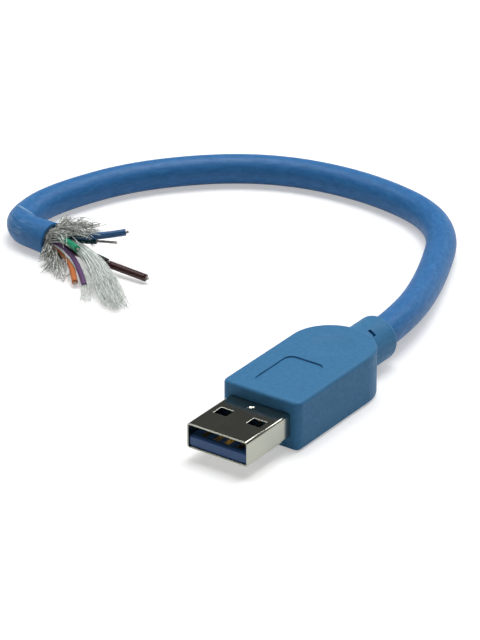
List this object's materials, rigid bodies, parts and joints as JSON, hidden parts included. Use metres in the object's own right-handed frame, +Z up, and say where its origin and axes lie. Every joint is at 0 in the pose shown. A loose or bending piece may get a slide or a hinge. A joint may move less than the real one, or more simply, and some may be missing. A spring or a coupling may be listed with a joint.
{
  "type": "usb 3 type a cable lead with cut end",
  "caption": "Moulded type A plug on a short round shielded cable that lies in an open loop and ends cut off, its braid and insulated wires splayed.",
  "frame": {"origin": "middle of the plug's underside, on the surface it lies on, halfway along the plug from the shell's nose to the strain relief's tip", "axes": "-Y is the way the plug is pushed in, X is its width, +Z is up; the cable leaves towards +Y and lies on the same surface"},
  "size_m": [0.0908, 0.1008, 0.0089],
  "materials": {
    "blue_pvc": "satin",
    "milky_polymer": "satin",
    "plated_steel": "polished",
    "tinplate": "satin",
    "blue_insulator": "satin",
    "gold_plating": "polished",
    "blue_jacket": "satin",
    "tinned_braid": "satin",
    "aluminium_foil": "polished",
    "white_fibre": "matt",
    "red_insulation": "satin",
    "black_insulation": "satin",
    "white_insulation": "satin",
    "green_insulation": "satin",
    "blue_insulation": "satin",
    "teal_insulation": "satin",
    "violet_insulation": "satin",
    "orange_insulation": "satin",
    "tinned_copper": "polished"
  },
  "bodies": {
    "root": {"overmould": "blue_pvc", "inner_mould": "milky_polymer", "shell": "plated_steel", "shield_cover": "tinplate", "shield_tray": "tinplate", "insulator": "blue_insulator", "contact_carrier": "blue_insulator", "vbus_contact": "gold_plating", "data_minus_contact": "gold_plating", "data_plus_contact": "gold_plating", "ground_contact": "gold_plating", "ss_rx_minus_contact": "gold_plating", "ss_rx_plus_contact": "gold_plating", "ss_drain_contact": "gold_plating", "ss_tx_minus_contact": "gold_plating", "ss_tx_plus_contact": "gold_plating", "jacket": "blue_jacket", "braid": "tinned_braid", "foil": "aluminium_foil", "filler_fibres": "white_fibre", "red_wire": "red_insulation", "black_wire": "black_insulation", "white_wire": "white_insulation", "green_wire": "green_insulation", "blue_wire": "blue_insulation", "teal_wire": "teal_insulation", "violet_wire": "violet_insulation", "orange_wire": "orange_insulation", "upper_drain_wire": "tinned_copper", "lower_drain_wire": "tinned_copper"}
  },
  "joints": []
}
